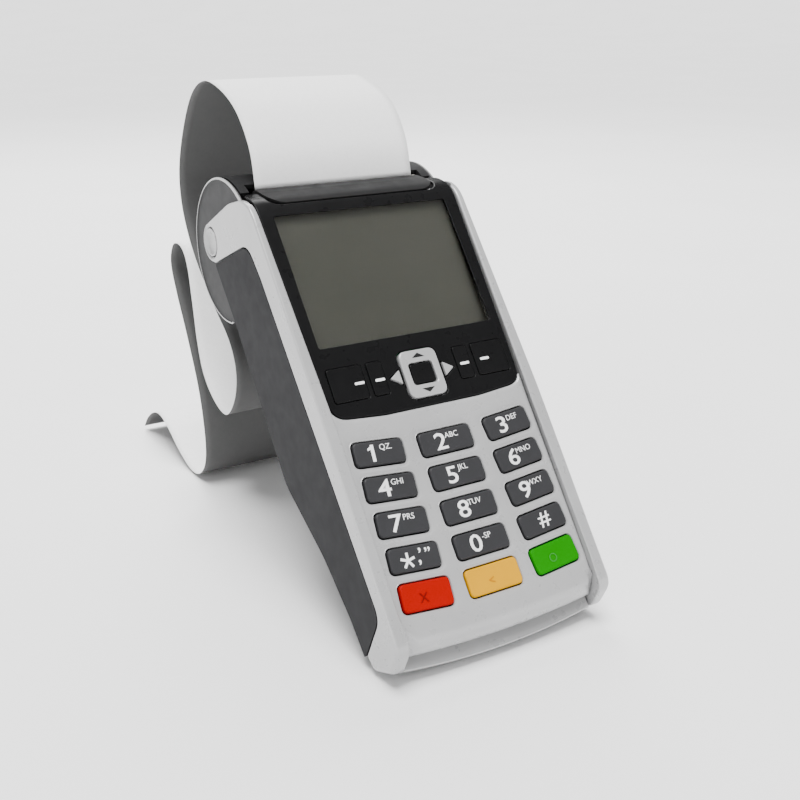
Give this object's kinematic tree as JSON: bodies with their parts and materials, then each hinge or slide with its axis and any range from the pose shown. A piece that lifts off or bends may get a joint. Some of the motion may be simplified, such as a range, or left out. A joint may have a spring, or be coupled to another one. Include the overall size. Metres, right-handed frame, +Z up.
{
  "type": "card payment terminal",
  "caption": "Handheld card payment terminal standing on its lower end: display, keypad, chip and swipe readers, and a receipt printer with a hinged paper cover and a curled receipt.",
  "frame": {"origin": "centre of the bounding box in X and Y, on the floor it stands on in Z", "axes": "+X to the keypad user's right, +Y away from the user, towards the receipt, +Z up; the terminal leans back, its face 52.8 degrees above the floor"},
  "size_m": [0.0796, 0.2336, 0.1572],
  "materials": {
    "silver_plastic": "satin light grey",
    "dark_plastic": "satin charcoal",
    "cover_plastic": "satin dark grey",
    "black_plastic": "gloss black",
    "display_glass": "clear, slightly grey",
    "lcd_grey": "display switched off",
    "key_grey": "satin",
    "key_red": "satin",
    "key_yellow": "satin",
    "key_green": "satin",
    "gear_nylon": "moulded nylon",
    "platen_rubber": "ground rubber",
    "steel": "bare steel",
    "circuit_board": "glass-fibre board with green resist",
    "battery_wrap": "shrink-wrapped pack",
    "silicone_rubber": "translucent grey",
    "gold_contact": "gold-plated springs",
    "core_card": "pressed card",
    "thermal_paper": "smooth thin paper"
  },
  "bodies": {
    "terminal": {"upper_casing": "silver_plastic", "lower_casing": "dark_plastic", "card_slot_lip": "silver_plastic", "case_screw_1": "steel", "case_screw_2": "steel", "case_screw_3": "steel", "case_screw_4": "steel", "display_bezel": "black_plastic", "display_lens": "display_glass", "lcd_module": "lcd_grey", "keypad_mat": "silicone_rubber", "keypad_board": "circuit_board", "main_board": "circuit_board", "battery_pack": "battery_wrap", "chip_card_reader": "black_plastic", "swipe_reader_wall": "dark_plastic", "tear_bar": "cover_plastic", "gear_bracket": "steel", "printer_motor": "steel", "print_head": "steel", "cover_hinge_pin": "steel"},
    "paper_cover": {"paper_cover": "cover_plastic", "receipt": "thermal_paper"},
    "platen": {"platen_roller": "platen_rubber", "platen_gear": "gear_nylon"},
    "paper_roll": {"paper_roll": "thermal_paper", "roll_core": "core_card"},
    "idler_gear_2": {"idler_gear_2": "gear_nylon"},
    "idler_gear_1": {"idler_gear_1": "gear_nylon"},
    "motor_pinion": {"motor_pinion": "gear_nylon"},
    "battery_door": {"battery_door": "dark_plastic"},
    "mag_head": {"mag_head": "steel"},
    "chip_contacts": {"chip_contacts": "gold_contact"},
    "release_button_left": {"release_button_left": "silver_plastic"},
    "release_button_right": {"release_button_right": "silver_plastic"},
    "nav_ring": {"nav_ring": "silver_plastic"},
    "key_1": {"key_1": "key_grey"},
    "key_2": {"key_2": "key_grey"},
    "key_3": {"key_3": "key_grey"},
    "key_4": {"key_4": "key_grey"},
    "key_5": {"key_5": "key_grey"},
    "key_6": {"key_6": "key_grey"},
    "key_7": {"key_7": "key_grey"},
    "key_8": {"key_8": "key_grey"},
    "key_9": {"key_9": "key_grey"},
    "key_star": {"key_star": "key_grey"},
    "key_0": {"key_0": "key_grey"},
    "key_hash": {"key_hash": "key_grey"},
    "key_cancel": {"key_cancel": "key_red"},
    "key_correct": {"key_correct": "key_yellow"},
    "key_confirm": {"key_confirm": "key_green"},
    "function_key_1": {"function_key_1": "black_plastic"},
    "function_key_2": {"function_key_2": "black_plastic"},
    "function_key_3": {"function_key_3": "black_plastic"},
    "function_key_4": {"function_key_4": "black_plastic"},
    "nav_centre": {"nav_centre": "black_plastic"},
    "nav_left": {"nav_left": "silver_plastic"},
    "nav_right": {"nav_right": "silver_plastic"}
  },
  "joints": [
    {"name": "cover_hinge", "type": "hinge", "parent": "terminal", "child": "paper_cover", "pos_m": [-0.0014, -0.01271, 0.08157], "axis": [1, 0, 0], "range_deg": [-60, 0], "deforming": ["receipt"]},
    {"name": "paper_roll_spin", "type": "hinge", "parent": "paper_cover", "child": "paper_roll", "pos_m": [-0.0014, -0.0061, 0.10104], "axis": [1, 0, 0], "continuous": true},
    {"name": "platen_spin", "type": "hinge", "parent": "paper_cover", "child": "platen", "pos_m": [-0.0014, -0.0146, 0.12193], "axis": [1, 0, 0], "continuous": true},
    {"name": "idler_2_spin", "type": "hinge", "parent": "terminal", "child": "idler_gear_2", "pos_m": [0.0292, -0.01959, 0.11535], "axis": [1, 0, 0], "continuous": true},
    {"name": "idler_1_spin", "type": "hinge", "parent": "terminal", "child": "idler_gear_1", "pos_m": [0.0292, -0.02533, 0.10779], "axis": [1, 0, 0], "continuous": true},
    {"name": "motor_spin", "type": "hinge", "parent": "terminal", "child": "motor_pinion", "pos_m": [0.0292, -0.03002, 0.10161], "axis": [1, 0, 0], "continuous": true},
    {"name": "battery_door_hinge", "type": "hinge", "parent": "terminal", "child": "battery_door", "pos_m": [-0.0014, -0.04951, 0.0402], "axis": [1, 0, 0], "range_deg": [-70, 0]},
    {"name": "mag_head_slide", "type": "slide", "parent": "terminal", "child": "mag_head", "axis": [-1, 0, 0], "range_m": [0, 0.0008], "stiffness_N_per_m": 400},
    {"name": "chip_contacts_slide", "type": "slide", "parent": "terminal", "child": "chip_contacts", "axis": [0, 0.7965, -0.6046], "range_m": [0, 0.0005], "stiffness_N_per_m": 800},
    {"name": "release_left_press", "type": "slide", "parent": "terminal", "child": "release_button_left", "axis": [1, 0, 0], "range_m": [0, 0.0012], "stiffness_N_per_m": 500},
    {"name": "release_right_press", "type": "slide", "parent": "terminal", "child": "release_button_right", "axis": [-1, 0, 0], "range_m": [0, 0.0012], "stiffness_N_per_m": 500},
    {"name": "nav_ring_tilt", "type": "hinge", "parent": "terminal", "child": "nav_ring", "pos_m": [-0.0014, -0.06722, 0.07361], "axis": [1, 0, 0], "range_deg": [-3, 3], "stiffness_Nm_per_rad": 0.05},
    {"name": "key_1_press", "type": "slide", "parent": "terminal", "child": "key_1", "axis": [0, 0.7965, -0.6046], "range_m": [0, 0.0008], "stiffness_N_per_m": 600},
    {"name": "key_2_press", "type": "slide", "parent": "terminal", "child": "key_2", "axis": [0, 0.7965, -0.6046], "range_m": [0, 0.0008], "stiffness_N_per_m": 600},
    {"name": "key_3_press", "type": "slide", "parent": "terminal", "child": "key_3", "axis": [0, 0.7965, -0.6046], "range_m": [0, 0.0008], "stiffness_N_per_m": 600},
    {"name": "key_4_press", "type": "slide", "parent": "terminal", "child": "key_4", "axis": [0, 0.7965, -0.6046], "range_m": [0, 0.0008], "stiffness_N_per_m": 600},
    {"name": "key_5_press", "type": "slide", "parent": "terminal", "child": "key_5", "axis": [0, 0.7965, -0.6046], "range_m": [0, 0.0008], "stiffness_N_per_m": 600},
    {"name": "key_6_press", "type": "slide", "parent": "terminal", "child": "key_6", "axis": [0, 0.7965, -0.6046], "range_m": [0, 0.0008], "stiffness_N_per_m": 600},
    {"name": "key_7_press", "type": "slide", "parent": "terminal", "child": "key_7", "axis": [0, 0.7965, -0.6046], "range_m": [0, 0.0008], "stiffness_N_per_m": 600},
    {"name": "key_8_press", "type": "slide", "parent": "terminal", "child": "key_8", "axis": [0, 0.7965, -0.6046], "range_m": [0, 0.0008], "stiffness_N_per_m": 600},
    {"name": "key_9_press", "type": "slide", "parent": "terminal", "child": "key_9", "axis": [0, 0.7965, -0.6046], "range_m": [0, 0.0008], "stiffness_N_per_m": 600},
    {"name": "key_star_press", "type": "slide", "parent": "terminal", "child": "key_star", "axis": [0, 0.7965, -0.6046], "range_m": [0, 0.0008], "stiffness_N_per_m": 600},
    {"name": "key_0_press", "type": "slide", "parent": "terminal", "child": "key_0", "axis": [0, 0.7965, -0.6046], "range_m": [0, 0.0008], "stiffness_N_per_m": 600},
    {"name": "key_hash_press", "type": "slide", "parent": "terminal", "child": "key_hash", "axis": [0, 0.7965, -0.6046], "range_m": [0, 0.0008], "stiffness_N_per_m": 600},
    {"name": "key_cancel_press", "type": "slide", "parent": "terminal", "child": "key_cancel", "axis": [0, 0.7965, -0.6046], "range_m": [0, 0.0008], "stiffness_N_per_m": 600},
    {"name": "key_correct_press", "type": "slide", "parent": "terminal", "child": "key_correct", "axis": [0, 0.7965, -0.6046], "range_m": [0, 0.0008], "stiffness_N_per_m": 600},
    {"name": "key_confirm_press", "type": "slide", "parent": "terminal", "child": "key_confirm", "axis": [0, 0.7965, -0.6046], "range_m": [0, 0.0008], "stiffness_N_per_m": 600},
    {"name": "function_key_1_press", "type": "slide", "parent": "terminal", "child": "function_key_1", "axis": [0, 0.7965, -0.6046], "range_m": [0, 0.0008], "stiffness_N_per_m": 600},
    {"name": "function_key_2_press", "type": "slide", "parent": "terminal", "child": "function_key_2", "axis": [0, 0.7965, -0.6046], "range_m": [0, 0.0008], "stiffness_N_per_m": 600},
    {"name": "function_key_3_press", "type": "slide", "parent": "terminal", "child": "function_key_3", "axis": [0, 0.7965, -0.6046], "range_m": [0, 0.0008], "stiffness_N_per_m": 600},
    {"name": "function_key_4_press", "type": "slide", "parent": "terminal", "child": "function_key_4", "axis": [0, 0.7965, -0.6046], "range_m": [0, 0.0008], "stiffness_N_per_m": 600},
    {"name": "nav_centre_press", "type": "slide", "parent": "terminal", "child": "nav_centre", "axis": [0, 0.7965, -0.6046], "range_m": [0, 0.0008], "stiffness_N_per_m": 600},
    {"name": "nav_left_press", "type": "slide", "parent": "terminal", "child": "nav_left", "axis": [0, 0.7965, -0.6046], "range_m": [0, 0.0008], "stiffness_N_per_m": 600},
    {"name": "nav_right_press", "type": "slide", "parent": "terminal", "child": "nav_right", "axis": [0, 0.7965, -0.6046], "range_m": [0, 0.0008], "stiffness_N_per_m": 600}
  ],
  "couplings": [
    {"joint": "platen_spin", "follows": "paper_roll_spin", "ratio": 4.8485},
    {"joint": "idler_2_spin", "follows": "paper_roll_spin", "ratio": -3.5726},
    {"joint": "idler_1_spin", "follows": "paper_roll_spin", "ratio": 3.5726},
    {"joint": "motor_spin", "follows": "paper_roll_spin", "ratio": -5.6566}
  ]
}
